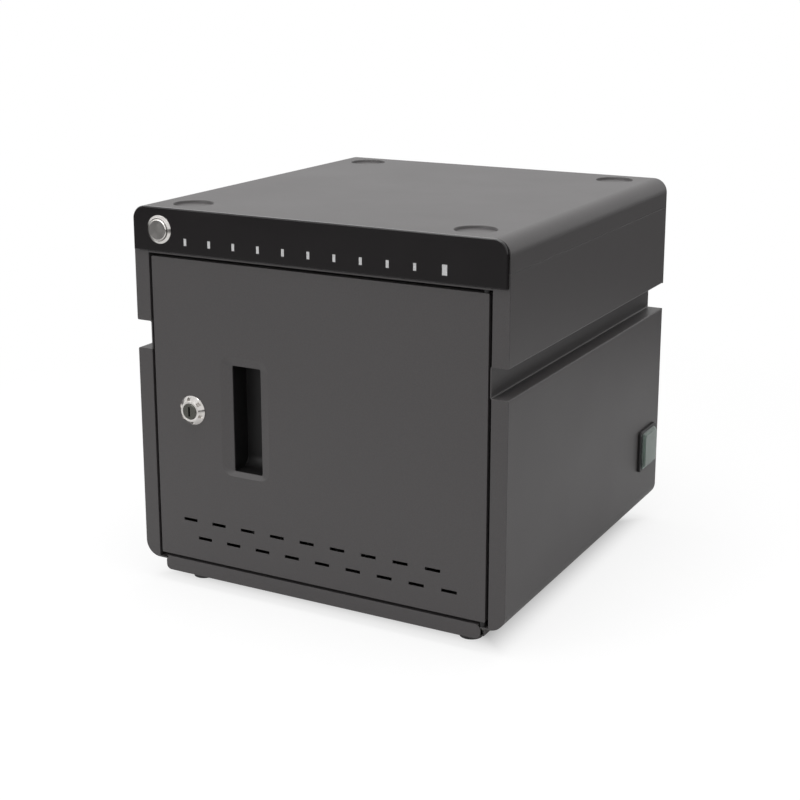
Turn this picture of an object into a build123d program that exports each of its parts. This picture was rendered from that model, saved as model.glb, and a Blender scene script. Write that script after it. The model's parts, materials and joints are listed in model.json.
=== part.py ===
from build123d import *
import os
from math import cos, radians, sin

os.makedirs("parts", exist_ok=True)

# Overall size. The origin lies on the ground, midway across the shell and midway between
# the bezel's face and the rear panel. +X is the right-hand side, -Y the front and +Z up.
body_width = 376.0
body_depth = 384.0
overall_height = 362.0

# Sheet metal
sheet = 1.2
bend = 1.5
running = 0.05
seat_gap = 0.3

# Base tray and feet
foot_height = 12.5
foot_radius = 11.0
foot_taper = 0.6
tray_drop = 10.5
tray_inset = 23.0
tray_lip_height = 13.5
tray_lip_radius = 5.0
tray_flange = 46.0
foot_inset_x = 45.5
foot_inset_y = 30.0
foot_screw_radius = 2.0
foot_screw_head_radius = 3.6
foot_screw_length = 9.0

# Shell
corner_low_radius = 15.0
corner_top_radius = 14.0
groove_depth = 15.5
groove_height = 26.5
groove_bottom_height = 228.0
skirt_height = 28.5
tongue_height = 12.0
tongue_bend = 0.3
dimple_radius = 18.5
dimple_depth = 2.4
dimple_draft_deg = 20.0
dimple_rim = 0.8

# Front opening and bezel
bezel_height = 41.0
bezel_thickness = 3.0
bezel_inset = 1.5
bezel_edge = 0.8
header_reveal = 2.0
header_plate_height = 36.0
door_gap = 3.0
door_depth = 16.0
door_edge_radius = 1.0

# Port lights
port_count = 10
port_pitch = 25.77
port_from_side = 58.8
power_light_step = 27.6
port_light_height = 11.3
port_window = (3.0, 6.6)
power_window = (4.9, 9.2)
window_play = 0.1
window_margin = 0.5
chip_size = 2.6
light_guide_gap = 1.0
board_thickness = 1.6
indicator_board_gap = 4.8
indicator_board_height = 22.0
indicator_board_margin = 9.0
spacer_radius = 2.6
peg_radius = 2.4
peg_length = 5.0
peg_pitch = 90.0
peg_below_top = 12.0

# Push button
button_from_side = 31.0
button_below_top = 20.2
button_ring_radius = 13.0
button_ring_height = 2.2
button_cap_radius = 9.8
button_cap_proud = 3.6
button_cap_skirt = 3.0
button_cap_dome = 1.0
button_barrel_radius = 10.9
button_barrel_length = 20.0
button_stem_radius = 4.0
button_travel = 2.0
button_nut_flats = 25.0
button_nut_thickness = 4.0

# Hinge
pivot_inset = 3.2
pin_radius = 1.5
pin_engagement = 10.0
pin_head_radius = 1.8
pin_head_height = 1.8
washer_radius = 3.0

# Door handle and its dish
handle_from_side = 117.8
handle_z = 172.7
handle_width = 30.2
handle_height = 100.0
handle_corner_radius = 1.5
dish_margin_left = 12.0
dish_margin_right = 9.0
dish_margin_top = 8.5
dish_margin_bottom = 4.5
dish_depth = 2.4
cup_depth = 23.0
cup_wall = 1.5
cup_flange = 4.5
cup_floor_radius = 10.0

# Cam lock
lock_from_side = 59.0
lock_z = 175.0
lock_head_radius = 14.0
lock_rim = 1.2
lock_head_height = 4.6
lock_crown_radius = 9.6
lock_edge = 0.6
lock_barrel_radius = 9.5
lock_barrel_length = 22.0
lock_notches = 6
lock_notch_first_deg = -20.0
lock_notch_length = 2.8
lock_notch_width = 3.4
plug_radius = 7.6
plug_proud = 5.6
plug_edge = 0.8
key_slot = (1.9, 9.0)
key_slot_depth = 4.0
lock_nut_flats = 24.0
lock_nut_thickness = 4.0
cam_length = 50.0
cam_width = 15.0
cam_thickness = 2.0
cam_square = 9.0
jamb_margin = 0.5
cam_screw_radius = 2.0
cam_screw_length = 8.0
cam_screw_head_radius = 5.6
cam_screw_head_height = 2.4

# Vent slots
vent_slot = (15.0, 3.0)
door_vent_count = 9
door_vent_pitch = 31.8
door_vent_upper_z = 67.2
door_vent_row_pitch = 16.7
rear_vent_count = 9
rear_vent_pitch = 24.0
rear_vent_row_pitch = 12.0
rear_vent_row_count = 3
rear_vent_z = 142.0

# Door stops
stop_low_z = 80.0
stop_below_ceiling = 29.0
stop_width = 20.0
stop_reach = 11.0
stop_leg = 16.0
buffer_radius = 4.0
buffer_thickness = 3.0

# Device bay
service_depth = 47.5
slot_pitch = 31.0
divider_thickness = 2.0
divider_height = 130.0
divider_front_gap = 40.0
divider_back_gap = 16.5
divider_corner_radius = 30.0
rail_width = 10.0
rail_height = 12.0
rail_base = 2.4
rail_slot_play = 0.1
rail_inset = 25.0
socket_size = (9.2, 3.6)
socket_length = 6.6
socket_play = 0.3
socket_mouth = (7.4, 1.8)
socket_mouth_depth = 4.0
socket_drop = 23.0
charging_board_size = (320.0, 44.0)
charging_spacer_length = 5.0
power_supply_size = (200.0, 30.0, 98.0)
power_supply_x = -20.0
power_supply_z = 110.0
power_supply_rib_count = 7
power_supply_rib_share = 0.8

# Fans
fan_size = 60.0
fan_thickness = 15.0
fan_bore_radius = 28.5
fan_hole_pitch = 50.0
fan_x = 92.0
fan_z = 222.0
fan_hub_radius = 12.0
fan_blade_count = 7
fan_blade_radius = 27.4
fan_blade_chord = 13.0
fan_blade_thickness = 1.2
fan_blade_pitch_deg = 34.0
fan_shaft_radius = 1.5
guard_wire = 1.6
guard_thickness = 1.6
guard_rings = (27.0, 18.0, 9.0)

# Mains inlet
inlet_from_side = 58.0
inlet_z = 66.0
inlet_flange = (50.0, 28.0)
inlet_flange_thickness = 2.0
inlet_body = (27.0, 19.6)
inlet_body_depth = 24.0
inlet_mouth = (24.2, 16.4)
inlet_mouth_depth = 17.0
inlet_pin = (2.0, 4.0)
inlet_pin_length = 13.0
inlet_pin_spread = 7.0
inlet_pin_rise = 3.0
inlet_screw_pitch = 40.0

# Rocker switch and its splash boot
switch_from_back = 36.5
switch_z = 88.5
switch_frame = (46.0, 43.0)
switch_frame_thickness = 3.0
switch_frame_edge = 0.8
switch_body = (38.0, 38.0)
switch_body_depth = 16.0
switch_wall = 2.0
boot_wall = 0.8
boot_height = 3.4
boot_margin = (5.0, 2.0)
boot_slope = 3.0
rocker_size = (26.0, 30.0)
rocker_drop = 11.0
rocker_rise = 0.6
rocker_dip = 1.0
rocker_side = 5.0
rocker_tilt_deg = 5.0
rocker_pin_radius = 1.5
rocker_clearance = 1.5

# Fasteners
screw_head_radius = 2.8
screw_head_height = 1.6
screw_radius = 1.4
screw_length = 4.0
panel_screw_inset = 8.0
panel_screw_foot = 20.0
panel_screw_by_groove = 12.0
panel_screw_below_top = 9.0
panel_screw_middle_x = 60.0

# Places worked out from the sizes above
half_width = body_width / 2
bezel_face_y = -(body_depth + bezel_thickness) / 2
front_y = bezel_face_y + bezel_thickness
back_y = front_y + body_depth
tray_half = half_width - tray_inset
tray_width = 2 * tray_half
shell_bottom = foot_height + tray_drop
floor_z = foot_height + tray_lip_height
door_bottom = floor_z + door_gap
bezel_bottom = overall_height - bezel_height
ceiling_z = bezel_bottom - header_reveal
door_top = ceiling_z - door_gap
groove_x = half_width - groove_depth
groove_top_height = groove_bottom_height + groove_height
groove_middle_x = half_width - groove_depth / 2
seam_z = overall_height - skirt_height
opening_half = groove_x
door_half = opening_half - door_gap
pivot_x = door_half - pivot_inset
pivot_y = front_y + pivot_inset
inner_back_y = back_y - service_depth
divider_length = body_depth - service_depth - divider_front_gap - divider_back_gap
bezel_half = half_width - bezel_inset
bezel_corner_radius = corner_top_radius - bezel_inset
port_z = bezel_bottom + port_light_height
button_z = overall_height - button_below_top
cup_mouth_y = front_y + dish_depth + sheet
jamb_back_y = front_y + lock_barrel_length - jamb_margin
indicator_board_y = front_y + sheet + indicator_board_gap
charging_board_y = inner_back_y + sheet + charging_spacer_length
switch_y = back_y - switch_from_back
socket_z = ceiling_z - socket_drop
button_x = button_from_side - half_width
lock_x = lock_from_side - half_width
handle_x = handle_from_side - half_width
inlet_x = half_width - inlet_from_side
port_first_x = port_from_side - half_width
power_x = port_first_x + (port_count - 1) * port_pitch + power_light_step
port_hole = (port_window[0] + 2 * window_margin, port_window[1] + 2 * window_margin)
power_hole = (power_window[0] + 2 * window_margin, power_window[1] + 2 * window_margin)
door_vent_first_x = -(door_vent_count - 0.5) * door_vent_pitch / 2
stop_heights = (stop_low_z, ceiling_z - stop_below_ceiling)


def facing_front(y):
    """A plane that faces the front: sketch x is +X and sketch y is +Z."""
    return Plane.XZ.offset(-y)


def slot_row(count, pitch, first_x, z, size):
    """A row of flat vent slots in a plane that faces the front."""
    with Locations((first_x + (count - 1) * pitch / 2, z)):
        with GridLocations(pitch, 0, count, 1):
            Rectangle(*size)


def save(piece, name):
    """Name a finished piece and write it."""
    piece.part.label = name
    export_step(piece.part, f"parts/{name}.step")


# Side panels: one folded sheet each, grooved along the whole depth, with a front strip
def side_profile(side):
    """The outer line of a side panel from the base flange up to the tongue behind the cover."""
    tongue_x = half_width - sheet - seat_gap
    corners = [
        (tray_half, shell_bottom),
        (half_width, shell_bottom),
        (half_width, groove_bottom_height),
        (groove_x, groove_bottom_height),
        (groove_x, groove_top_height),
        (half_width, groove_top_height),
        (half_width, seam_z - seat_gap),
        (tongue_x, seam_z - seat_gap),
        (tongue_x, seam_z + tongue_height),
    ]
    radii = [corner_low_radius, bend, bend, bend, bend, tongue_bend, tongue_bend]
    FilletPolyline(*[(side * x, z) for x, z in corners], radius=radii)
    offset(amount=sheet, side=Side.LEFT if side > 0 else Side.RIGHT)


def side_panel(side):
    strip_middle = side * groove_middle_x
    jamb_middle = side * (opening_half + sheet / 2)
    lower_height = groove_bottom_height - shell_bottom
    upper_height = seam_z - seat_gap - groove_top_height
    jamb_spans = [
        (shell_bottom + sheet / 2, groove_bottom_height - sheet / 2),
        (groove_top_height + sheet / 2, ceiling_z),
    ]
    with BuildPart() as panel:
        with BuildSketch(facing_front(front_y)):
            with BuildLine():
                side_profile(side)
            make_face()
        extrude(amount=-(body_depth - sheet))
        with BuildSketch(facing_front(front_y)) as strips:
            with Locations((strip_middle, shell_bottom + lower_height / 2)):
                Rectangle(groove_depth, lower_height)
            low_outer = strips.vertices().group_by(Axis.Y)[0].sort_by(Axis.X)[-1 if side > 0 else 0]
            fillet(low_outer, corner_low_radius)
            outer_line = strips.vertices().group_by(Axis.X)[-1 if side > 0 else 0]
            fillet(outer_line.sort_by(Axis.Y)[-1], bend)
            with Locations((strip_middle, groove_top_height + upper_height / 2)):
                Rectangle(groove_depth, upper_height)
            upper_outer = strips.vertices().group_by(Axis.X)[-1 if side > 0 else 0]
            fillet(upper_outer.sort_by(Axis.Y)[-2], bend)
        extrude(amount=-sheet)
        for low, high in jamb_spans:
            with BuildSketch(Plane.XY.offset(low)):
                with Locations((jamb_middle, (front_y + jamb_back_y) / 2)):
                    Rectangle(sheet, jamb_back_y - front_y)
            extrude(amount=high - low)
        if side > 0:
            with Locations((pivot_x, pivot_y, shell_bottom)):
                Cylinder(pin_radius + running, 4 * sheet, mode=Mode.SUBTRACT)
            with BuildSketch(Plane.YZ.offset(half_width)):
                with Locations((switch_y, switch_z)):
                    Rectangle(switch_body[0] + 2 * seat_gap, switch_body[1] + 2 * seat_gap)
            extrude(amount=-2 * sheet, mode=Mode.SUBTRACT)
    return panel


side_panel_left = side_panel(-1)
side_panel_right = side_panel(1)
save(side_panel_left, "side_panel_left")
save(side_panel_right, "side_panel_right")

# Top cover: a folded sheet with rounded shoulders and four round stacking dimples
cover_length = body_depth - sheet
cover_middle_y = front_y + cover_length / 2
with BuildPart() as top_cover:
    with BuildSketch(facing_front(front_y)):
        with BuildLine():
            FilletPolyline(
                (-half_width, seam_z),
                (-half_width, overall_height),
                (half_width, overall_height),
                (half_width, seam_z),
                radius=corner_top_radius,
            )
            offset(amount=sheet, side=Side.RIGHT)
        make_face()
    extrude(amount=-cover_length)
    dimple_spots = GridLocations(
        body_width - 2 * foot_inset_x, body_depth - 2 * foot_inset_y, 2, 2
    ).locations
    dimple_middle_y = (front_y + back_y) / 2
    with BuildSketch(Plane.XY.offset(overall_height - sheet)):
        with Locations((0, dimple_middle_y)):
            with Locations(dimple_spots):
                Circle(dimple_radius + sheet)
    extrude(amount=-dimple_depth)
    with BuildSketch(Plane.XY.offset(overall_height)):
        with Locations((0, dimple_middle_y)):
            with Locations(dimple_spots):
                Circle(dimple_radius)
    extrude(amount=-dimple_depth, taper=dimple_draft_deg, mode=Mode.SUBTRACT)
    rims = top_cover.edges().filter_by(GeomType.CIRCLE).group_by(Axis.Z)[-1]
    fillet(rims, dimple_rim)
save(top_cover, "top_cover")

# Base tray: the cabinet floor, with a front lip, side walls and flanges for the feet
foot_spots = GridLocations(
    body_width - 2 * foot_inset_x, body_depth - 2 * foot_inset_y, 2, 2
).locations
with BuildPart() as base_tray:
    with BuildSketch(Plane.XY.offset(floor_z)):
        with Locations((0, (front_y + back_y - sheet) / 2)):
            Rectangle(tray_width, body_depth - 3 * sheet)
    extrude(amount=-sheet)
    for lip_y in (front_y, back_y - 2 * sheet):
        with BuildSketch(facing_front(lip_y)) as lip:
            with Locations((0, floor_z - tray_lip_height / 2)):
                Rectangle(tray_width, tray_lip_height)
            fillet(lip.vertices(), tray_lip_radius)
        extrude(amount=-sheet)
    for side in (-1, 1):
        with BuildSketch(Plane.XY.offset(foot_height)):
            with Locations((side * (tray_half - sheet / 2), (front_y + back_y) / 2)):
                Rectangle(sheet, body_depth - 4 * sheet)
        extrude(amount=tray_lip_height)
        with BuildSketch(Plane.XY.offset(foot_height)):
            with Locations((side * (tray_half - tray_flange / 2), (front_y + back_y) / 2)):
                Rectangle(tray_flange, body_depth - 4 * sheet)
        extrude(amount=sheet)
    with Locations((0, (front_y + back_y) / 2, foot_height)):
        with Locations(foot_spots):
            Cylinder(foot_screw_radius + 2 * running, 4 * sheet, mode=Mode.SUBTRACT)
    notch_x = pivot_x - washer_radius - seat_gap
    with Locations((notch_x, front_y + sheet, foot_height)):
        Box(
            tray_half, pivot_inset + washer_radius + seat_gap, 2 * tray_lip_height,
            align=(Align.MIN, Align.MIN, Align.CENTER), mode=Mode.SUBTRACT,
        )
save(base_tray, "base_tray")

# Ceiling sheet above the bay, with the header plate that carries the bezel
ceiling_half = half_width - sheet
header_half = opening_half - seat_gap
peg_z = overall_height - peg_below_top
with BuildPart() as ceiling:
    with BuildSketch(Plane.XY.offset(ceiling_z)):
        with Locations((0, (front_y + sheet + inner_back_y) / 2)):
            Rectangle(2 * ceiling_half, inner_back_y - front_y - sheet)
        with Locations((0, front_y + sheet)):
            Rectangle(2 * header_half, 2 * sheet)
    extrude(amount=sheet)
    with BuildSketch(facing_front(front_y)):
        with Locations((0, ceiling_z + header_plate_height / 2)):
            Rectangle(2 * header_half, header_plate_height)
    extrude(amount=-sheet)
    with BuildSketch(facing_front(front_y)):
        slot_row(port_count, port_pitch, port_first_x, port_z, port_hole)
        with Locations((power_x, port_z)):
            Rectangle(*power_hole)
        with Locations((button_x, button_z)):
            Circle(button_barrel_radius + seat_gap)
        with Locations((0, peg_z)):
            with GridLocations(peg_pitch, 0, 4, 1):
                Circle(peg_radius + 2 * running)
    extrude(amount=-sheet, mode=Mode.SUBTRACT)
    with Locations((pivot_x, pivot_y, ceiling_z)):
        Cylinder(pin_radius + running, 4 * sheet, mode=Mode.SUBTRACT)
save(ceiling, "ceiling_sheet")

# Bay back wall, with a cut-out for each charging socket
wall_half = groove_x - sheet
socket_first_x = -(port_count - 1) * slot_pitch / 2
with BuildPart() as bay_wall:
    with BuildSketch(facing_front(inner_back_y)):
        with Locations((0, (floor_z + ceiling_z) / 2)):
            Rectangle(2 * wall_half, ceiling_z - floor_z)
        slot_row_cut = (socket_size[0] + 2 * socket_play, socket_size[1] + 2 * socket_play)
        with Locations((0, socket_z)):
            with GridLocations(slot_pitch, 0, port_count, 1):
                Rectangle(*slot_row_cut, mode=Mode.SUBTRACT)
    extrude(amount=-sheet)
save(bay_wall, "bay_back_wall")

# Rear panel: the shell's outline with vents, two fan openings and the inlet cut-out
panel_screw_spots = [
    (side * (half_width - panel_screw_inset), z)
    for side in (-1, 1)
    for z in (
        shell_bottom + panel_screw_foot,
        groove_bottom_height - panel_screw_by_groove,
        groove_top_height + panel_screw_by_groove,
    )
] + [
    (side * panel_screw_middle_x, overall_height - panel_screw_below_top) for side in (-1, 1)
]
guard_screw_spots = [
    (side * fan_x + dx * fan_hole_pitch / 2, fan_z + dz * fan_hole_pitch / 2)
    for side in (-1, 1)
    for dx in (-1, 1)
    for dz in (-1, 1)
]
inlet_screw_spots = [(inlet_x + dx * inlet_screw_pitch / 2, inlet_z) for dx in (-1, 1)]
with BuildPart() as rear_panel:
    with BuildSketch(facing_front(back_y)) as outline:
        with Locations((0, (shell_bottom + overall_height) / 2)):
            Rectangle(body_width, overall_height - shell_bottom)
        fillet(outline.vertices().group_by(Axis.Y)[0], corner_low_radius)
        fillet(outline.vertices().group_by(Axis.Y)[-1], corner_top_radius)
        for side in (-1, 1):
            with Locations((side * groove_middle_x, groove_bottom_height + groove_height / 2)):
                Rectangle(groove_depth, groove_height, mode=Mode.SUBTRACT)
    extrude(amount=sheet)
    with BuildSketch(facing_front(back_y)):
        with Locations((0, rear_vent_z)):
            with GridLocations(rear_vent_pitch, rear_vent_row_pitch, rear_vent_count, rear_vent_row_count):
                Rectangle(*vent_slot)
        for side in (-1, 1):
            with Locations((side * fan_x, fan_z)):
                Circle(fan_bore_radius)
        with Locations((inlet_x, inlet_z)):
            Rectangle(inlet_body[0] + 2 * seat_gap, inlet_body[1] + 2 * seat_gap)
        with Locations(*panel_screw_spots, *guard_screw_spots, *inlet_screw_spots):
            Circle(screw_radius + running)
    extrude(amount=sheet, mode=Mode.SUBTRACT)
save(rear_panel, "rear_panel")

# Front bezel: a gloss moulding with light windows, a button hole and pegs behind
with BuildPart() as bezel:
    with BuildSketch(facing_front(bezel_face_y)) as face:
        with Locations((0, bezel_bottom + bezel_height / 2)):
            Rectangle(2 * bezel_half, bezel_height)
        fillet(face.vertices().group_by(Axis.Y)[-1], bezel_corner_radius)
        fillet(face.vertices().group_by(Axis.Y)[0], bezel_edge)
    extrude(amount=-bezel_thickness)
    chamfer(bezel.faces().sort_by(Axis.Y)[0].edges(), bezel_edge)
    with BuildSketch(facing_front(bezel_face_y)):
        slot_row(port_count, port_pitch, port_first_x, port_z, port_window)
        with Locations((power_x, port_z)):
            Rectangle(*power_window)
        with Locations((button_x, button_z)):
            Circle(button_barrel_radius + running)
    extrude(amount=-bezel_thickness, mode=Mode.SUBTRACT)
    with BuildSketch(facing_front(front_y)):
        with Locations((0, peg_z)):
            with GridLocations(peg_pitch, 0, 4, 1):
                Circle(peg_radius)
    extrude(amount=-peg_length)
save(bezel, "front_bezel")

# Light guides: each fills its window and reaches back to the indicator board
guide_length = indicator_board_y - bezel_face_y - light_guide_gap
with BuildPart() as port_lights:
    with BuildSketch(facing_front(bezel_face_y)):
        slot_row(
            port_count, port_pitch, port_first_x, port_z,
            (port_window[0] - 2 * window_play, port_window[1] - 2 * window_play),
        )
    extrude(amount=-guide_length)
save(port_lights, "port_lights")

with BuildPart() as power_light:
    with BuildSketch(facing_front(bezel_face_y)):
        with Locations((power_x, port_z)):
            Rectangle(power_window[0] - 2 * window_play, power_window[1] - 2 * window_play)
    extrude(amount=-guide_length)
save(power_light, "power_light")

# Indicator board on four spacers behind the header plate
board_left = port_first_x - indicator_board_margin
board_right = power_x + indicator_board_margin
board_middle = (board_left + board_right) / 2
board_length = board_right - board_left
spacer_pitch = (board_length - 4 * spacer_radius) / 3
board_z = port_z + indicator_board_height / 4
spacer_z = board_z + indicator_board_height / 2 - 2 * spacer_radius
with BuildPart() as indicator_board:
    with BuildSketch(facing_front(indicator_board_y)):
        with Locations((board_middle, board_z)):
            Rectangle(board_length, indicator_board_height)
    extrude(amount=-board_thickness)
    with BuildSketch(facing_front(indicator_board_y)):
        slot_row(port_count, port_pitch, port_first_x, port_z, (chip_size, chip_size))
        with Locations((power_x, port_z)):
            Rectangle(chip_size, chip_size)
    extrude(amount=light_guide_gap - 2 * window_play)
save(indicator_board, "indicator_board")

with BuildPart() as indicator_spacers:
    with BuildSketch(facing_front(front_y + sheet)):
        with Locations((board_middle, spacer_z)):
            with GridLocations(spacer_pitch, 0, 4, 1):
                Circle(spacer_radius)
    extrude(amount=-indicator_board_gap)
save(indicator_spacers, "indicator_spacers")

# Push button: a turned housing with a barrel, a nut behind the header plate, a domed cap
cap_bore = button_cap_radius + seat_gap
cap_back_y = bezel_face_y - button_ring_height + button_cap_skirt
with BuildPart() as button_housing:
    with BuildSketch(Plane(origin=(button_x, 0, button_z), x_dir=(1, 0, 0), z_dir=(0, 0, 1))):
        with BuildLine():
            ring_top = bezel_face_y - button_ring_height
            barrel_back = bezel_face_y + button_barrel_length
            Polyline(
                (cap_bore, ring_top),
                (button_ring_radius - button_ring_height, ring_top),
                (button_ring_radius, ring_top + 0.7 * button_ring_height),
                (button_ring_radius, bezel_face_y),
                (button_barrel_radius, bezel_face_y),
                (button_barrel_radius, barrel_back),
                (button_stem_radius + running, barrel_back),
                (button_stem_radius + running, cap_back_y + button_travel + seat_gap),
                (cap_bore, cap_back_y + button_travel + seat_gap),
                close=True,
            )
        make_face()
    revolve(axis=Axis((button_x, 0, button_z), (0, 1, 0)))
save(button_housing, "button_housing")

with BuildPart() as button_cap:
    with BuildSketch(facing_front(bezel_face_y - button_cap_proud)):
        with Locations((button_x, button_z)):
            Circle(button_cap_radius)
    extrude(amount=-(button_cap_proud - button_ring_height + button_cap_skirt))
    fillet(button_cap.faces().sort_by(Axis.Y)[0].edges(), button_cap_dome)
    with BuildSketch(facing_front(cap_back_y)):
        with Locations((button_x, button_z)):
            Circle(button_stem_radius)
    extrude(amount=-(bezel_face_y + button_barrel_length - button_travel - cap_back_y))
save(button_cap, "button_cap")

with BuildPart() as button_nut:
    with BuildSketch(facing_front(front_y + sheet)):
        with Locations((button_x, button_z)):
            RegularPolygon(button_nut_flats / 2, 6, major_radius=False)
            Circle(button_barrel_radius + running, mode=Mode.SUBTRACT)
    extrude(amount=-button_nut_thickness)
save(button_nut, "button_nut")

# Door: a folded pan with a pressed dish round the handle opening, a lock hole and two vent rows
door_height = door_top - door_bottom
door_middle_z = (door_top + door_bottom) / 2
opening_left = handle_x - handle_width / 2
opening_low = handle_z - handle_height / 2
dish_width = handle_width + dish_margin_left + dish_margin_right
dish_height = handle_height + dish_margin_top + dish_margin_bottom
dish_x = opening_left - dish_margin_left + dish_width / 2
dish_z = opening_low - dish_margin_bottom + dish_height / 2
dish_corner = handle_corner_radius + dish_margin_right
with BuildPart() as door:
    with BuildSketch(facing_front(front_y)) as door_face:
        with Locations((0, door_middle_z)):
            Rectangle(2 * door_half, door_height)
        fillet(door_face.vertices(), door_edge_radius)
    extrude(amount=-door_depth)
    with BuildSketch(facing_front(front_y + sheet)):
        with Locations((0, door_middle_z)):
            Rectangle(2 * (door_half - sheet), door_height - 2 * sheet)
    extrude(amount=-door_depth, mode=Mode.SUBTRACT)
    with BuildSketch(facing_front(front_y)):
        with Locations((dish_x, dish_z)):
            RectangleRounded(dish_width, dish_height, dish_corner)
    with BuildSketch(facing_front(cup_mouth_y)):
        with Locations((handle_x, handle_z)):
            RectangleRounded(
                handle_width + 2 * sheet, handle_height + 2 * sheet, handle_corner_radius + sheet
            )
    loft()
    with BuildSketch(facing_front(front_y)):
        with Locations((dish_x, dish_z)):
            RectangleRounded(dish_width, dish_height, dish_corner)
    with BuildSketch(facing_front(front_y + dish_depth)):
        with Locations((handle_x, handle_z)):
            RectangleRounded(handle_width, handle_height, handle_corner_radius)
    loft(mode=Mode.SUBTRACT)
    with BuildSketch(facing_front(front_y)):
        with Locations((handle_x, handle_z)):
            RectangleRounded(handle_width, handle_height, handle_corner_radius)
        with Locations((lock_x, lock_z)):
            Circle(lock_barrel_radius + 2 * running)
        slot_row(door_vent_count, door_vent_pitch, door_vent_first_x, door_vent_upper_z, vent_slot)
        slot_row(
            door_vent_count, door_vent_pitch, door_vent_first_x + door_vent_pitch / 2,
            door_vent_upper_z - door_vent_row_pitch, vent_slot,
        )
    extrude(amount=-(dish_depth + 2 * sheet), mode=Mode.SUBTRACT)
    with Locations((pivot_x, pivot_y, door_middle_z)):
        Cylinder(pin_radius + running, door_height, mode=Mode.SUBTRACT)
save(door, "door_panel")

# Handle cup: a moulded pocket behind the dish, with a wide round at its foot
with BuildPart() as handle_cup:
    with BuildSketch(facing_front(cup_mouth_y)):
        with Locations((handle_x, handle_z)):
            Rectangle(handle_width + 2 * cup_flange, handle_height + 2 * cup_flange)
    extrude(amount=-cup_wall)
    with BuildSketch(facing_front(cup_mouth_y)):
        with Locations((handle_x, handle_z)):
            Rectangle(handle_width + 2 * cup_wall, handle_height + 2 * cup_wall)
    extrude(amount=-cup_depth)
    cup_back = handle_cup.faces().sort_by(Axis.Y)[-1]
    fillet(cup_back.edges().sort_by(Axis.Z)[0], cup_floor_radius + cup_wall)
    with BuildSketch(Plane.YZ.offset(handle_x - handle_width / 2)):
        cavity_depth = cup_depth - cup_wall
        with Locations((cup_mouth_y + cavity_depth / 2, handle_z)):
            cavity = Rectangle(cavity_depth, handle_height)
        deep_low = cavity.vertices().group_by(Axis.X)[-1].sort_by(Axis.Y)[0]
        fillet(deep_low, cup_floor_radius)
    extrude(amount=handle_width, mode=Mode.SUBTRACT)
save(handle_cup, "handle_cup")


# Cam lock: a bevelled head with notches, a threaded barrel, and the plug that turns in it
def lock_axis_plane(y):
    """A plane that faces the front, centred on the lock's axis."""
    return Plane(origin=(lock_x, y, lock_z), x_dir=(1, 0, 0), z_dir=(0, -1, 0))


barrel_back_y = front_y + lock_barrel_length
with BuildPart() as lock_body:
    with BuildSketch(Plane(origin=(lock_x, 0, lock_z), x_dir=(1, 0, 0), z_dir=(0, 0, 1))):
        with BuildLine():
            Polyline(
                (plug_radius + running, front_y - lock_head_height),
                (lock_crown_radius, front_y - lock_head_height),
                (lock_head_radius - lock_edge, front_y - lock_rim),
                (lock_head_radius, front_y - lock_edge),
                (lock_head_radius, front_y),
                (lock_barrel_radius, front_y),
                (lock_barrel_radius, barrel_back_y),
                (plug_radius + running, barrel_back_y),
                close=True,
            )
        make_face()
    revolve(axis=Axis((lock_x, 0, lock_z), (0, 1, 0)))
    with BuildSketch(lock_axis_plane(front_y - lock_head_height)):
        notch_reach = lock_crown_radius + seat_gap + lock_notch_length / 2
        with PolarLocations(notch_reach, lock_notches, start_angle=lock_notch_first_deg):
            Rectangle(lock_notch_length, lock_notch_width)
    extrude(amount=-(lock_head_height - lock_rim), mode=Mode.SUBTRACT)
save(lock_body, "lock_body")

cam_seat_y = barrel_back_y + seat_gap
cam_back_y = cam_seat_y + cam_thickness
with BuildPart() as lock_plug:
    with BuildSketch(lock_axis_plane(front_y - plug_proud)):
        Circle(plug_radius)
    extrude(amount=-(plug_proud + lock_barrel_length + seat_gap))
    chamfer(lock_plug.faces().sort_by(Axis.Y)[0].edges(), plug_edge)
    with BuildSketch(lock_axis_plane(front_y - plug_proud)):
        Rectangle(*key_slot)
    extrude(amount=-key_slot_depth, mode=Mode.SUBTRACT)
    with BuildSketch(lock_axis_plane(cam_seat_y)):
        Rectangle(cam_square, cam_square)
    extrude(amount=-cam_thickness)
    with BuildSketch(lock_axis_plane(cam_back_y)):
        Circle(cam_screw_radius + running)
    extrude(amount=cam_screw_length + seat_gap, mode=Mode.SUBTRACT)
save(lock_plug, "lock_plug")

with BuildPart() as lock_cam:
    with BuildSketch(lock_axis_plane(cam_seat_y)):
        Circle(cam_width / 2)
        with Locations((0, -cam_length / 2)):
            Rectangle(cam_width, cam_length)
        Rectangle(cam_square + 2 * running, cam_square + 2 * running, mode=Mode.SUBTRACT)
    extrude(amount=-cam_thickness)
    cam_tip = lock_cam.edges().filter_by(Axis.Y).group_by(Axis.Z)[0]
    fillet(cam_tip, cam_width / 4)
save(lock_cam, "lock_cam")

with BuildPart() as cam_screw:
    with BuildSketch(lock_axis_plane(cam_back_y)):
        Circle(cam_screw_head_radius)
    extrude(amount=-cam_screw_head_height)
    chamfer(cam_screw.faces().sort_by(Axis.Y)[-1].edges(), cam_screw_head_height / 4)
    with BuildSketch(lock_axis_plane(cam_back_y + cam_screw_head_height)):
        Rectangle(1.5 * cam_screw_head_radius, cam_screw_head_height / 3)
        Rectangle(cam_screw_head_height / 3, 1.5 * cam_screw_head_radius)
    extrude(amount=cam_screw_head_height / 2, mode=Mode.SUBTRACT)
    with BuildSketch(lock_axis_plane(cam_back_y)):
        Circle(cam_screw_radius)
    extrude(amount=cam_screw_length)
save(cam_screw, "cam_screw")

with BuildPart() as lock_nut:
    with BuildSketch(lock_axis_plane(front_y + sheet)):
        RegularPolygon(lock_nut_flats / 2, 6, major_radius=False)
        Circle(lock_barrel_radius + running, mode=Mode.SUBTRACT)
    extrude(amount=-lock_nut_thickness)
save(lock_nut, "lock_nut")


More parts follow.
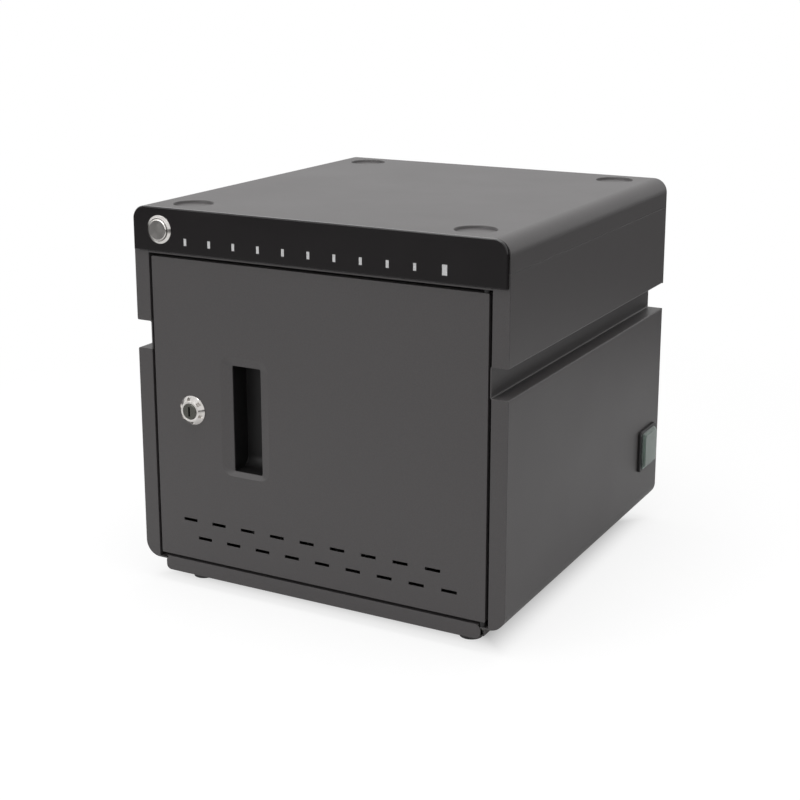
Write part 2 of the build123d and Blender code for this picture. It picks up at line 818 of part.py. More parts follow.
# Hinge: a headed pin above and below the door, each with a washer in the gap
def hinge_pin(seat_z, tip_z):
    """A pin whose head lies beyond seat_z, on the side away from its tip."""
    away = 1 if seat_z > tip_z else -1
    with BuildPart() as pin:
        with Locations((pivot_x, pivot_y, (seat_z + tip_z) / 2)):
            Cylinder(pin_radius, abs(seat_z - tip_z))
        with Locations((pivot_x, pivot_y, seat_z + away * pin_head_height / 2)):
            Cylinder(pin_head_radius, pin_head_height)
    return pin


hinge_pin_upper = hinge_pin(ceiling_z + sheet, door_top - pin_engagement)
hinge_pin_lower = hinge_pin(shell_bottom, door_bottom + pin_engagement)
save(hinge_pin_upper, "hinge_pin_upper")
save(hinge_pin_lower, "hinge_pin_lower")

washer_spans = [
    (shell_bottom + sheet, door_bottom - seat_gap),
    (door_top + seat_gap, ceiling_z),
]
with BuildPart() as hinge_washers:
    for low, high in washer_spans:
        with Locations((pivot_x, pivot_y, (low + high) / 2)):
            Cylinder(washer_radius, high - low)
            Cylinder(pin_radius + running, high - low, mode=Mode.SUBTRACT)
save(hinge_washers, "hinge_washers")

# Door stops: two small angles on the left jamb, each with a rubber buffer
door_back_y = front_y + door_depth
stop_face_y = door_back_y + seat_gap + buffer_thickness
stop_x = -opening_half
with BuildPart() as door_stops:
    for z in stop_heights:
        with BuildSketch(Plane.XY.offset(z - stop_width / 2)):
            with BuildLine():
                Polyline(
                    (stop_x + sheet, stop_face_y + sheet - stop_leg),
                    (stop_x + sheet, stop_face_y),
                    (stop_x + stop_reach, stop_face_y),
                    (stop_x + stop_reach, stop_face_y + sheet),
                    (stop_x, stop_face_y + sheet),
                    (stop_x, stop_face_y + sheet - stop_leg),
                    close=True,
                )
            make_face()
        extrude(amount=stop_width)
save(door_stops, "door_stops")

buffer_x = stop_x + sheet + seat_gap + buffer_radius
with BuildPart() as door_buffers:
    with BuildSketch(facing_front(stop_face_y)):
        with Locations(*[(buffer_x, z) for z in stop_heights]):
            Circle(buffer_radius)
    extrude(amount=buffer_thickness)
save(door_buffers, "door_buffers")

# Device bay: dividers stand in two slotted rails and make a slot for each port
divider_count = port_count - 1
divider_front_y = front_y + divider_front_gap
divider_back_y = divider_front_y + divider_length
divider_low = floor_z + rail_base
rail_length = port_count * slot_pitch + divider_thickness
rail_ys = (divider_front_y + rail_inset, divider_back_y - rail_inset)
with BuildPart() as divider_rails:
    for y in rail_ys:
        with BuildSketch(facing_front(y - rail_width / 2)):
            with Locations((0, floor_z + rail_height / 2)):
                Rectangle(rail_length, rail_height)
            with Locations((0, divider_low)):
                with GridLocations(slot_pitch, 0, divider_count, 1):
                    Rectangle(
                        divider_thickness + 2 * rail_slot_play, rail_height,
                        align=(Align.CENTER, Align.MIN), mode=Mode.SUBTRACT,
                    )
        extrude(amount=-rail_width)
save(divider_rails, "divider_rails")

with BuildPart() as dividers:
    for index in range(divider_count):
        divider_x = (index - (divider_count - 1) / 2) * slot_pitch
        with BuildSketch(Plane.YZ.offset(divider_x - divider_thickness / 2)) as blade:
            with Locations((divider_front_y, divider_low)):
                Rectangle(divider_length, divider_height, align=(Align.MIN, Align.MIN))
            top_corners = blade.vertices().group_by(Axis.Y)[-1]
            fillet(top_corners.sort_by(Axis.X)[0], divider_corner_radius)
            for y in rail_ys:
                with Locations((y, divider_low)):
                    Circle(rail_width / 4, mode=Mode.SUBTRACT)
        extrude(amount=divider_thickness)
save(dividers, "dividers")

# Charging electronics behind the bay wall: sockets on a board, board on spacers, power supply
with BuildPart() as sockets:
    with BuildSketch(facing_front(charging_board_y - socket_length)):
        with Locations((0, socket_z)):
            with GridLocations(slot_pitch, 0, port_count, 1):
                RectangleRounded(*socket_size, socket_size[1] / 2 - running)
    extrude(amount=-socket_length)
    with BuildSketch(facing_front(charging_board_y - socket_length)):
        with Locations((0, socket_z)):
            with GridLocations(slot_pitch, 0, port_count, 1):
                Rectangle(*socket_mouth)
    extrude(amount=-socket_mouth_depth, mode=Mode.SUBTRACT)
save(sockets, "charging_sockets")

board_size_x, board_size_z = charging_board_size
charging_board_z = socket_z - board_size_z / 4
with BuildPart() as charging_board:
    with BuildSketch(facing_front(charging_board_y)):
        with Locations((0, charging_board_z)):
            Rectangle(board_size_x, board_size_z)
    extrude(amount=-board_thickness)
save(charging_board, "charging_board")

with BuildPart() as charging_spacers:
    with BuildSketch(facing_front(inner_back_y + sheet)):
        with Locations((0, charging_board_z)):
            with GridLocations(
                board_size_x - 4 * spacer_radius, board_size_z - 4 * spacer_radius, 2, 2
            ):
                Circle(spacer_radius)
    extrude(amount=-charging_spacer_length)
save(charging_spacers, "charging_spacers")

supply_x, supply_y, supply_z = power_supply_size
with BuildPart() as power_supply:
    with Locations((power_supply_x, inner_back_y + sheet, power_supply_z)):
        Box(supply_x, supply_y, supply_z, align=(Align.CENTER, Align.MIN, Align.CENTER))
    with BuildSketch(facing_front(inner_back_y + sheet + supply_y)):
        with Locations((power_supply_x, power_supply_z)):
            with GridLocations(supply_x / power_supply_rib_count, 0, power_supply_rib_count, 1):
                Rectangle(supply_x / power_supply_rib_count / 3, power_supply_rib_share * supply_z)
    extrude(amount=sheet, mode=Mode.SUBTRACT)
save(power_supply, "power_supply")

# Fans: a square frame with struts and a shaft, a bladed rotor on it, and a wire guard outside
fan_back_y = back_y - sheet
fan_front_y = fan_back_y - fan_thickness
strut = 2.0


def fan_plane(side, y):
    """A plane that faces the front, centred on one fan."""
    return Plane(origin=(side * fan_x, y, fan_z), x_dir=(1, 0, 0), z_dir=(0, -1, 0))


def fan_frame(side):
    with BuildPart() as frame:
        with BuildSketch(fan_plane(side, fan_front_y)):
            RectangleRounded(fan_size, fan_size, 3 * strut / 2)
            Circle(fan_bore_radius, mode=Mode.SUBTRACT)
            with GridLocations(fan_hole_pitch, fan_hole_pitch, 2, 2):
                Circle(screw_radius + running, mode=Mode.SUBTRACT)
        extrude(amount=-fan_thickness)
        with BuildSketch(fan_plane(side, fan_front_y)):
            Circle(fan_hub_radius)
            with PolarLocations((fan_hub_radius + fan_bore_radius) / 2, 3, start_angle=90):
                Rectangle(fan_bore_radius - fan_hub_radius + strut, 2 * strut)
        extrude(amount=-strut)
        with BuildSketch(fan_plane(side, fan_front_y)):
            Circle(fan_shaft_radius)
        extrude(amount=-(fan_thickness - 2 * strut))
    return frame


def fan_rotor(side):
    hub_front = fan_front_y + strut + 2 * seat_gap
    hub_length = fan_thickness - strut - 5 * seat_gap
    blade_span = fan_blade_radius - fan_hub_radius + strut / 2
    with BuildPart() as rotor:
        with BuildSketch(fan_plane(side, hub_front)):
            Circle(fan_hub_radius)
        extrude(amount=-hub_length)
        for index in range(fan_blade_count):
            turn = index * 360 / fan_blade_count
            outward = Vector(cos(radians(turn)), 0, sin(radians(turn)))
            sideways = Vector(-sin(radians(turn)), 0, cos(radians(turn)))
            lean = radians(fan_blade_pitch_deg)
            chord_way = sideways * cos(lean) + Vector(0, 1, 0) * sin(lean)
            root = Vector(side * fan_x, hub_front + hub_length / 2, fan_z) + outward * (
                fan_hub_radius - strut
            )
            with BuildSketch(Plane(origin=root, x_dir=chord_way, z_dir=outward)):
                Rectangle(fan_blade_chord, fan_blade_thickness)
            extrude(amount=blade_span)
        with BuildSketch(fan_plane(side, hub_front)):
            Circle(fan_shaft_radius + running)
        extrude(amount=-(fan_thickness - 3 * strut), mode=Mode.SUBTRACT)
    return rotor


for side, name in ((-1, "left"), (1, "right")):
    save(fan_frame(side), f"fan_frame_{name}")
    save(fan_rotor(side), f"fan_rotor_{name}")

with BuildPart() as fan_guards:
    for side in (-1, 1):
        with BuildSketch(fan_plane(side, back_y)):
            for ring_radius in guard_rings:
                Circle(ring_radius + guard_wire / 2)
                Circle(ring_radius - guard_wire / 2, mode=Mode.SUBTRACT)
            for angle in (45, 135):
                with Locations(Location((0, 0), angle)):
                    Rectangle(fan_hole_pitch * 2**0.5, guard_wire)
            with GridLocations(fan_hole_pitch, fan_hole_pitch, 2, 2):
                Circle(screw_head_radius + guard_wire / 2)
                Circle(screw_radius + running, mode=Mode.SUBTRACT)
        extrude(amount=-guard_thickness)
save(fan_guards, "fan_guards")

# Mains inlet on the rear panel: a flanged socket with three flat pins
with BuildPart() as mains_inlet:
    with BuildSketch(facing_front(back_y)):
        with Locations((inlet_x, inlet_z)):
            RectangleRounded(*inlet_flange, inlet_flange[1] / 4)
            with GridLocations(inlet_screw_pitch, 0, 2, 1):
                Circle(screw_radius + running, mode=Mode.SUBTRACT)
    extrude(amount=-inlet_flange_thickness)
    with BuildSketch(facing_front(back_y)):
        with Locations((inlet_x, inlet_z)):
            Rectangle(*inlet_body)
    extrude(amount=inlet_body_depth)
    with BuildSketch(facing_front(back_y + inlet_flange_thickness)):
        with Locations((inlet_x, inlet_z)):
            mouth = Rectangle(*inlet_mouth)
        chamfer(mouth.vertices().group_by(Axis.Y)[-1], inlet_mouth[1] / 4)
    extrude(amount=inlet_mouth_depth, mode=Mode.SUBTRACT)
save(mains_inlet, "mains_inlet")

pin_back_y = back_y + inlet_flange_thickness - inlet_mouth_depth
pin_spots = [
    (inlet_x - inlet_pin_spread, inlet_z - inlet_pin_rise / 2),
    (inlet_x, inlet_z + inlet_pin_rise / 2),
    (inlet_x + inlet_pin_spread, inlet_z - inlet_pin_rise / 2),
]
with BuildPart() as inlet_pins:
    with BuildSketch(facing_front(pin_back_y)):
        with Locations(*pin_spots):
            Rectangle(*inlet_pin)
    extrude(amount=-inlet_pin_length)
save(inlet_pins, "inlet_pins")


# Rocker switch in the right side panel: a framed body with a pivot bar, the rocker, a clear boot
def facing_right(x):
    """A plane that faces +X, centred on the switch: sketch x is +Y and sketch y is +Z."""
    return Plane(origin=(x, switch_y, switch_z), x_dir=(0, 1, 0), z_dir=(1, 0, 0))


frame_face_x = half_width + switch_frame_thickness
rocker_pivot_x = frame_face_x - rocker_drop
window = (rocker_size[0] + 2 * seat_gap, rocker_size[1] + 2 * rocker_clearance)
with BuildPart() as switch_housing:
    with BuildSketch(facing_right(half_width)):
        RectangleRounded(*switch_frame, 2 * switch_wall)
    extrude(amount=switch_frame_thickness)
    chamfer(switch_housing.faces().sort_by(Axis.X)[-1].edges(), switch_frame_edge)
    with BuildSketch(facing_right(half_width)):
        Rectangle(*switch_body)
    extrude(amount=-switch_body_depth)
    with BuildSketch(facing_right(frame_face_x)):
        Rectangle(*window)
    extrude(amount=-(switch_body_depth + switch_frame_thickness - switch_wall), mode=Mode.SUBTRACT)
    with Locations((rocker_pivot_x, switch_y, switch_z)):
        Cylinder(rocker_pin_radius, window[0], rotation=(90, 0, 0))
save(switch_housing, "switch_housing")

rocker_half = rocker_size[1] / 2
rocker_face = rocker_drop + rocker_rise
rocker_plane = Plane(
    origin=(rocker_pivot_x, switch_y - rocker_size[0] / 2, switch_z),
    x_dir=(cos(radians(rocker_tilt_deg)), 0, sin(radians(rocker_tilt_deg))),
    z_dir=(0, -1, 0),
)
with BuildPart() as rocker:
    with BuildSketch(rocker_plane):
        with BuildLine():
            dip = ThreePointArc(
                (rocker_face, -rocker_half), (rocker_face - rocker_dip, 0), (rocker_face, rocker_half)
            )
            Polyline(
                dip @ 1,
                (rocker_face - rocker_side, rocker_half),
                (-3 * rocker_pin_radius, 3 * rocker_pin_radius),
                (-3 * rocker_pin_radius, -3 * rocker_pin_radius),
                (rocker_face - rocker_side, -rocker_half),
                dip @ 0,
            )
        make_face()
        Circle(rocker_pin_radius + running, mode=Mode.SUBTRACT)
    extrude(amount=-rocker_size[0])
save(rocker, "switch_rocker")

boot_base = (switch_frame[0] - 2 * boot_margin[0], switch_frame[1] - 2 * boot_margin[1])
with BuildPart() as switch_boot:
    for shrink, how in ((0, Mode.ADD), (boot_wall, Mode.SUBTRACT)):
        rise = boot_height - shrink
        with BuildSketch(facing_right(frame_face_x)):
            RectangleRounded(
                boot_base[0] - 2 * shrink, boot_base[1] - 2 * shrink, boot_slope - shrink
            )
        with BuildSketch(facing_right(frame_face_x + rise)):
            RectangleRounded(
                boot_base[0] - 2 * (shrink + boot_slope / 2),
                boot_base[1] - 2 * (shrink + boot_slope),
                boot_slope - shrink,
            )
        loft(mode=how)
save(switch_boot, "switch_boot")

# Rubber feet with their screws
with BuildPart() as feet:
    with Locations((0, (front_y + back_y) / 2)):
        with Locations(foot_spots):
            Cone(
                foot_radius - foot_taper, foot_radius, foot_height,
                align=(Align.CENTER, Align.CENTER, Align.MIN),
            )
            Cylinder(
                foot_screw_head_radius + seat_gap, foot_height / 2,
                align=(Align.CENTER, Align.CENTER, Align.MIN), mode=Mode.SUBTRACT,
            )
            Cylinder(
                foot_screw_radius + running, foot_height,
                align=(Align.CENTER, Align.CENTER, Align.MIN), mode=Mode.SUBTRACT,
            )
save(feet, "feet")

with BuildPart() as foot_screws:
    with Locations((0, (front_y + back_y) / 2, foot_height / 2)):
        with Locations(foot_spots):
            Cylinder(
                foot_screw_head_radius, foot_height / 4,
                align=(Align.CENTER, Align.CENTER, Align.MAX),
            )
            Cylinder(
                foot_screw_radius, foot_screw_length,
                align=(Align.CENTER, Align.CENTER, Align.MIN),
            )
save(foot_screws, "foot_screws")


# Rear fasteners: panel screws, guard screws and inlet screws
def rear_screws(seat_y, spots):
    with BuildPart() as screws:
        with BuildSketch(facing_front(seat_y)):
            with Locations(*spots):
                Circle(screw_head_radius)
        extrude(amount=-screw_head_height)
        with BuildSketch(facing_front(seat_y + screw_head_height)):
            with Locations(*spots):
                Rectangle(2.6, 0.7)
                Rectangle(0.7, 2.6)
        extrude(amount=screw_head_height / 2, mode=Mode.SUBTRACT)
        with BuildSketch(facing_front(seat_y)):
            with Locations(*spots):
                Circle(screw_radius)
        extrude(amount=screw_length)
    return screws


save(rear_screws(back_y, panel_screw_spots), "panel_screws")
save(rear_screws(back_y + guard_thickness, guard_screw_spots), "guard_screws")
save(rear_screws(back_y + inlet_flange_thickness, inlet_screw_spots), "inlet_screws")
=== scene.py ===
import json
import math
import bpy
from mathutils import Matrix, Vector

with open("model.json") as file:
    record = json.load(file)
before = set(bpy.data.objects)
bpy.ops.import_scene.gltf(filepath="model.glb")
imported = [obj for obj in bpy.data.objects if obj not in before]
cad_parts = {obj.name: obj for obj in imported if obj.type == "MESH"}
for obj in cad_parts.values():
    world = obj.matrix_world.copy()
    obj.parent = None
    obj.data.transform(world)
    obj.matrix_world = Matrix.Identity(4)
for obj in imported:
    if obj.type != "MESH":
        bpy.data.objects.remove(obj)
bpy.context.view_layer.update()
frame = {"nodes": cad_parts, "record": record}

NODES = frame["nodes"]
for imported in list(bpy.data.materials):
    bpy.data.materials.remove(imported)


# Materials

class Shader:
    """A node material on object coordinates, in metres, so its grain has a real size."""

    def __init__(self, name, color, roughness, metallic=0.0):
        self.material = bpy.data.materials.new(name)
        self.material.use_nodes = True
        self.material.diffuse_color = (*color[:3], 1.0)
        self.tree = self.material.node_tree
        self.shader = self.tree.nodes["Principled BSDF"]
        self.set("Base Color", (*color[:3], 1.0))
        self.set("Roughness", roughness)
        self.set("Metallic", metallic)
        self.coords = self.node("ShaderNodeTexCoord")
        self.normal = None

    def node(self, kind, **values):
        made = self.tree.nodes.new(kind)
        for key, value in values.items():
            setattr(made, key, value)
        return made

    def link(self, a, b):
        self.tree.links.new(a, b)

    def set(self, socket, value):
        self.shader.inputs[socket].default_value = value

    def noise(self, size, detail=2.0, roughness=0.5, stretch=(1, 1, 1)):
        """Noise whose features are about size metres across."""
        mapping = self.node("ShaderNodeMapping")
        mapping.inputs["Scale"].default_value = stretch
        noise = self.node("ShaderNodeTexNoise")
        noise.inputs["Scale"].default_value = 1.0 / size
        noise.inputs["Detail"].default_value = detail
        noise.inputs["Roughness"].default_value = roughness
        self.link(self.coords.outputs["Object"], mapping.inputs["Vector"])
        self.link(mapping.outputs["Vector"], noise.inputs["Vector"])
        return noise.outputs["Fac"]

    def ramp(self, factor, low, high, start=0.3, end=0.7):
        """Runs from value low to high as the factor goes from start to end."""
        ramp = self.node("ShaderNodeMapRange")
        ramp.inputs["From Min"].default_value = start
        ramp.inputs["From Max"].default_value = end
        ramp.inputs["To Min"].default_value = low
        ramp.inputs["To Max"].default_value = high
        self.link(factor, ramp.inputs["Value"])
        return ramp.outputs["Result"]

    def vary_roughness(self, factor, low, high, start=0.3, end=0.7):
        self.link(self.ramp(factor, low, high, start, end), self.shader.inputs["Roughness"])
        return self

    def vary_color(self, factor, dark, light, start=0.3, end=0.7):
        mix = self.node("ShaderNodeMix", data_type="RGBA")
        mix.inputs[6].default_value = (*dark, 1.0)
        mix.inputs[7].default_value = (*light, 1.0)
        self.link(self.ramp(factor, 0.0, 1.0, start, end), mix.inputs["Factor"])
        self.link(mix.outputs[2], self.shader.inputs["Base Color"])
        return self

    def soft_edges(self, radius):
        """Rounds the sharp edges' shading over radius metres."""
        bevel = self.node("ShaderNodeBevel", samples=6)
        bevel.inputs["Radius"].default_value = radius
        self.normal = bevel.outputs["Normal"]
        self.link(self.normal, self.shader.inputs["Normal"])
        return self

    def bump(self, height, depth, strength=1.0):
        """Raises the surface by up to depth metres."""
        bump = self.node("ShaderNodeBump")
        bump.inputs["Strength"].default_value = strength
        bump.inputs["Distance"].default_value = depth
        self.link(height, bump.inputs["Height"])
        if self.normal is not None:
            self.link(self.normal, bump.inputs["Normal"])
        self.normal = bump.outputs["Normal"]
        self.link(self.normal, self.shader.inputs["Normal"])
        return self


def powder_coat():
    """Dark grey powder coat: a fine orange peel with a faint fleck in it."""
    coat = Shader("shell_paint", (0.061, 0.057, 0.0575), 0.43)
    coat.set("Specular IOR Level", 0.38)
    fleck = coat.noise(0.0011, detail=3.0, roughness=0.6)
    coat.vary_color(fleck, (0.055, 0.0515, 0.052), (0.067, 0.0625, 0.063), 0.3, 0.7)
    coat.vary_roughness(coat.noise(0.09, detail=4.0), 0.42, 0.45)
    coat.soft_edges(0.0007)
    coat.bump(coat.noise(0.0016, detail=2.0), 0.00006, 0.6)
    return coat.material


def gloss_black():
    """Gloss moulding with a faint unevenness in its shine."""
    gloss = Shader("gloss_black", (0.011, 0.0095, 0.010), 0.15)
    gloss.set("Specular IOR Level", 0.45)
    gloss.vary_roughness(gloss.noise(0.05, detail=5.0), 0.10, 0.17)
    gloss.soft_edges(0.0006)
    gloss.bump(gloss.noise(0.02, detail=1.0), 0.00004, 0.4)
    return gloss.material


def light_window():
    """Milky plastic that lets a little light in."""
    window = Shader("light_window", (0.58, 0.58, 0.58), 0.3)
    window.set("Subsurface Weight", 0.25)
    window.set("Subsurface Radius", (0.001, 0.001, 0.001))
    window.vary_color(window.noise(0.0015), (0.53, 0.53, 0.53), (0.63, 0.63, 0.63))
    window.soft_edges(0.0002)
    return window.material


def chrome():
    """Polished plate with faint turning marks and small scuffs."""
    plate = Shader("chrome", (0.64, 0.62, 0.60), 0.14, 1.0)
    plate.vary_color(plate.noise(0.006, detail=4.0), (0.54, 0.52, 0.50), (0.70, 0.68, 0.66))
    plate.vary_roughness(plate.noise(0.004, detail=5.0), 0.09, 0.20)
    plate.soft_edges(0.0003)
    plate.bump(plate.noise(0.003, detail=3.0), 0.00006, 0.5)
    return plate.material


def dark_plug():
    """Dark turned steel."""
    plug = Shader("dark_plug", (0.10, 0.10, 0.09), 0.28, 1.0)
    plug.vary_roughness(plug.noise(0.002, detail=4.0), 0.22, 0.36)
    plug.soft_edges(0.0002)
    plug.bump(plug.noise(0.0006), 0.00001, 0.4)
    return plug.material


def zinc_steel():
    """Zinc plate: grey, with a fine crystalline mottle."""
    zinc = Shader("zinc_steel", (0.50, 0.50, 0.49), 0.34, 1.0)
    zinc.vary_color(zinc.noise(0.006, detail=4.0), (0.43, 0.43, 0.42), (0.57, 0.57, 0.56))
    zinc.vary_roughness(zinc.noise(0.003, detail=4.0), 0.27, 0.42)
    zinc.soft_edges(0.0003)
    return zinc.material


def black_plastic():
    """Moulded plastic with a fine spark-eroded grain."""
    plastic = Shader("black_plastic", (0.0075, 0.007, 0.0072), 0.42)
    plastic.set("Specular IOR Level", 0.35)
    plastic.vary_roughness(plastic.noise(0.03, detail=4.0), 0.36, 0.48)
    plastic.soft_edges(0.0006)
    plastic.bump(plastic.noise(0.0007, detail=2.0), 0.00004, 0.5)
    return plastic.material


def clear_boot():
    """Soft clear cover, a little cloudy."""
    boot = Shader("clear_boot", (0.40, 0.48, 0.44), 0.14)
    boot.set("Transmission Weight", 0.86)
    boot.set("IOR", 1.41)
    boot.vary_roughness(boot.noise(0.01), 0.11, 0.17)
    boot.soft_edges(0.0006)
    return boot.material


def rocker_green():
    """Gloss green moulding."""
    rocker = Shader("rocker_green", (0.03, 0.20, 0.10), 0.25)
    rocker.vary_roughness(rocker.noise(0.006), 0.2, 0.3)
    rocker.soft_edges(0.0004)
    return rocker.material


def rubber():
    """Dark grey rubber with a dusty bloom."""
    feet = Shader("rubber", (0.055, 0.054, 0.055), 0.7)
    feet.vary_color(feet.noise(0.008, detail=4.0), (0.046, 0.045, 0.046), (0.066, 0.065, 0.066))
    feet.soft_edges(0.0008)
    feet.bump(feet.noise(0.0008), 0.00005, 0.6)
    return feet.material


def board_green():
    """Solder mask over a fibre weave."""
    board = Shader("board_green", (0.02, 0.12, 0.05), 0.35)
    board.vary_color(board.noise(0.002, detail=3.0), (0.015, 0.10, 0.04), (0.03, 0.15, 0.07))
    board.bump(board.noise(0.0008, stretch=(1, 1, 6)), 0.00002, 0.5)
    return board.material


def brass():
    """Plated contact."""
    contact = Shader("brass", (0.72, 0.58, 0.30), 0.25, 1.0)
    contact.vary_roughness(contact.noise(0.003), 0.2, 0.35)
    contact.soft_edges(0.0003)
    return contact.material


def divider_plastic():
    """Grey moulding with a fine grain."""
    plastic = Shader("divider_plastic", (0.16, 0.16, 0.16), 0.5)
    plastic.vary_color(plastic.noise(0.02, detail=3.0), (0.145, 0.145, 0.145), (0.175, 0.175, 0.175))
    plastic.soft_edges(0.0005)
    plastic.bump(plastic.noise(0.0008), 0.00004, 0.5)
    return plastic.material


MATERIALS = {
    made.name: made
    for made in (
        powder_coat(), gloss_black(), light_window(), chrome(), dark_plug(), zinc_steel(),
        black_plastic(), clear_boot(), rocker_green(), rubber(), board_green(), brass(),
        divider_plastic(),
    )
}
SLOT_OF = {part["node"]: part["material_slot"] for part in frame["record"]["subparts"]}

for name, node in NODES.items():
    node.data.materials.clear()
    node.data.materials.append(MATERIALS[SLOT_OF[name]])


# Floor, world and lamps: lengths in metres, tones and strengths with 1 as white

AMBIENT = 0.32
FLOOR_SIZE = 16.0
# Painted shadow: under this footprint the camera sees the floor's real shading with little glow.
# Past the outline a strong glow washes the shading out, so the shadow is painted to end at the
# footprint.
FOOTPRINT_HALF = (0.190, 0.190)
UNDER_TONE, UNDER_LIFT = 0.80, 0.12
AROUND_TONE, AROUND_LIFT = 0.24, 0.80
PAINTED_SHADOW_EDGE = (-0.058, -0.004)
WHITE_FADE = (0.5, 1.0)
TABLE_FADE = (0.75, 1.25)
TABLE_TONE = (0.94, 0.22)
LAMPS = (
    ("top_softbox", (0.1, -0.1, 1.7), (0, 0, 0.3), (1.6, 1.6), 22.5),
    ("front_softbox", (-0.9, -1.9, 1.0), (0, 0, 0.2), (2.0, 1.6), 18.5),
)

CAMERA_SENSOR = 36.0
CAMERA_LENS = 68.463
CAMERA_SHIFT_Y = -0.10
CAMERA_PLACE = (0.6739, -1.2814, 0.5819)
CAMERA_DOWN_DEG = 13.481
CAMERA_TURN_DEG = 28.262


def is_seen(material_tree):
    """1 for a ray from the camera, a reflection or a view through glass."""
    path = material_tree.nodes.new("ShaderNodeLightPath")
    total = path.outputs["Is Camera Ray"]
    for key in ("Is Glossy Ray", "Is Transmission Ray"):
        larger = material_tree.nodes.new("ShaderNodeMath")
        larger.operation = "MAXIMUM"
        material_tree.links.new(total, larger.inputs[0])
        material_tree.links.new(path.outputs[key], larger.inputs[1])
        total = larger.outputs[0]
    return total


def make_world():
    world = bpy.data.worlds.new("studio")
    world.use_nodes = True
    tree = world.node_tree
    background = tree.nodes["Background"]
    background.inputs["Color"].default_value = (1.0, 1.0, 1.0, 1.0)
    strength = tree.nodes.new("ShaderNodeMapRange")
    strength.inputs["To Min"].default_value = AMBIENT
    strength.inputs["To Max"].default_value = 1.0
    tree.links.new(is_seen(tree), strength.inputs["Value"])
    tree.links.new(strength.outputs["Result"], background.inputs["Strength"])
    bpy.context.scene.world = world


def from_middle(tree, span, values):
    """Runs smoothly from one value to the other over a span of distances from the middle."""
    coords = tree.nodes.new("ShaderNodeTexCoord")
    reach = tree.nodes.new("ShaderNodeVectorMath")
    reach.operation = "LENGTH"
    spread = tree.nodes.new("ShaderNodeMapRange")
    spread.interpolation_type = "SMOOTHSTEP"
    spread.inputs["From Min"].default_value = span[0]
    spread.inputs["From Max"].default_value = span[1]
    spread.inputs["To Min"].default_value = values[0]
    spread.inputs["To Max"].default_value = values[1]
    tree.links.new(coords.outputs["Object"], reach.inputs[0])
    tree.links.new(reach.outputs["Value"], spread.inputs["Value"])
    return spread.outputs["Result"]


def beyond_footprint(tree, span):
    """Runs from 0 under the object to 1 past it over a span of distances from its outline. It sets
    where the floor's painted shadow ends.
    """
    coords = tree.nodes.new("ShaderNodeTexCoord")
    axes = tree.nodes.new("ShaderNodeSeparateXYZ")
    tree.links.new(coords.outputs["Object"], axes.inputs["Vector"])
    distances = []
    for axis, half in (("X", FOOTPRINT_HALF[0]), ("Y", FOOTPRINT_HALF[1])):
        size = tree.nodes.new("ShaderNodeMath")
        size.operation = "ABSOLUTE"
        gap = tree.nodes.new("ShaderNodeMath")
        gap.operation = "SUBTRACT"
        gap.inputs[1].default_value = half
        tree.links.new(axes.outputs[axis], size.inputs[0])
        tree.links.new(size.outputs["Value"], gap.inputs[0])
        distances.append(gap.outputs["Value"])
    larger = tree.nodes.new("ShaderNodeMath")
    larger.operation = "MAXIMUM"
    tree.links.new(distances[0], larger.inputs[0])
    tree.links.new(distances[1], larger.inputs[1])
    spread = tree.nodes.new("ShaderNodeMapRange")
    spread.interpolation_type = "SMOOTHSTEP"
    spread.inputs["From Min"].default_value = span[0]
    spread.inputs["From Max"].default_value = span[1]
    tree.links.new(larger.outputs["Value"], spread.inputs["Value"])
    return spread.outputs["Result"]


def lifted_white(tree, tone, lift):
    """A diffuse surface of a grey tone with a plain glow added, so shadows on it stay soft."""
    surface = tree.nodes.new("ShaderNodeBsdfDiffuse")
    surface.inputs["Color"].default_value = (tone, tone, tone, 1.0)
    glow = tree.nodes.new("ShaderNodeEmission")
    glow.inputs["Strength"].default_value = lift
    both = tree.nodes.new("ShaderNodeAddShader")
    tree.links.new(surface.outputs["BSDF"], both.inputs[0])
    tree.links.new(glow.outputs["Emission"], both.inputs[1])
    return both.outputs["Shader"]


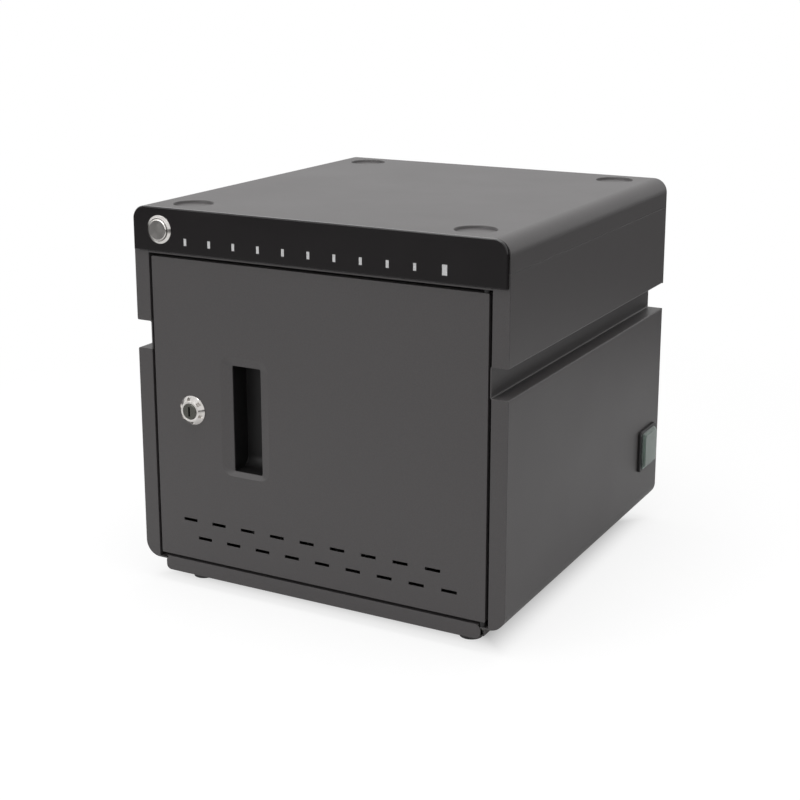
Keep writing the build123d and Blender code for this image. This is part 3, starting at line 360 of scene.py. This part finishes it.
def make_floor():
    """A white table top. The camera sees it as plain white with the object's shadow, which is partly
    real shading and partly painted: kept dark under the footprint, washed out by a glow past it.
    """
    bpy.ops.mesh.primitive_plane_add(size=FLOOR_SIZE, location=(0, 0, 0))
    floor = bpy.context.object
    floor.name = "studio_floor"
    material = bpy.data.materials.new("studio_floor")
    material.use_nodes = True
    tree = material.node_tree
    tree.nodes.remove(tree.nodes["Principled BSDF"])
    table = tree.nodes.new("ShaderNodeBsdfDiffuse")
    tone = tree.nodes.new("ShaderNodeCombineColor")
    table_tone = from_middle(tree, TABLE_FADE, TABLE_TONE)
    for channel in ("Red", "Green", "Blue"):
        tree.links.new(table_tone, tone.inputs[channel])
    tree.links.new(tone.outputs["Color"], table.inputs["Color"])
    under = lifted_white(tree, UNDER_TONE, UNDER_LIFT)
    around = lifted_white(tree, AROUND_TONE, AROUND_LIFT)
    # Painted shadow: the footprint mask keeps the floor's real shading dark under the object and
    # lets the glow wash it out past the outline.
    painted_shadow_floor = tree.nodes.new("ShaderNodeMixShader")
    tree.links.new(beyond_footprint(tree, PAINTED_SHADOW_EDGE), painted_shadow_floor.inputs["Fac"])
    tree.links.new(under, painted_shadow_floor.inputs[1])
    tree.links.new(around, painted_shadow_floor.inputs[2])
    white = tree.nodes.new("ShaderNodeEmission")
    fade = tree.nodes.new("ShaderNodeMixShader")
    tree.links.new(from_middle(tree, WHITE_FADE, (0.0, 1.0)), fade.inputs["Fac"])
    tree.links.new(painted_shadow_floor.outputs["Shader"], fade.inputs[1])
    tree.links.new(white.outputs["Emission"], fade.inputs[2])
    path = tree.nodes.new("ShaderNodeLightPath")
    choose = tree.nodes.new("ShaderNodeMixShader")
    tree.links.new(path.outputs["Is Camera Ray"], choose.inputs["Fac"])
    tree.links.new(table.outputs["BSDF"], choose.inputs[1])
    tree.links.new(fade.outputs["Shader"], choose.inputs[2])
    tree.links.new(choose.outputs["Shader"], tree.nodes["Material Output"].inputs["Surface"])
    floor.data.materials.append(material)


def area_lamp(name, place, target, size, power):
    lamp = bpy.data.lights.new(name, "AREA")
    lamp.shape = "RECTANGLE"
    lamp.size, lamp.size_y = size
    lamp.energy = power
    holder = bpy.data.objects.new(name, lamp)
    bpy.context.scene.collection.objects.link(holder)
    holder.location = place
    aim = Vector(target) - Vector(place)
    holder.rotation_euler = aim.to_track_quat("-Z", "Y").to_euler()


def make_camera():
    data = bpy.data.cameras.new("photo_camera")
    data.sensor_width = CAMERA_SENSOR
    data.lens = CAMERA_LENS
    data.shift_y = CAMERA_SHIFT_Y
    holder = bpy.data.objects.new("photo_camera", data)
    bpy.context.scene.collection.objects.link(holder)
    holder.location = CAMERA_PLACE
    tilt = math.radians(90.0 - CAMERA_DOWN_DEG)
    holder.rotation_euler = (tilt, 0.0, math.radians(CAMERA_TURN_DEG))
    bpy.context.scene.camera = holder


make_world()
make_floor()
make_camera()
for lamp_values in LAMPS:
    area_lamp(*lamp_values)
bpy.context.scene.view_settings.view_transform = "Standard"
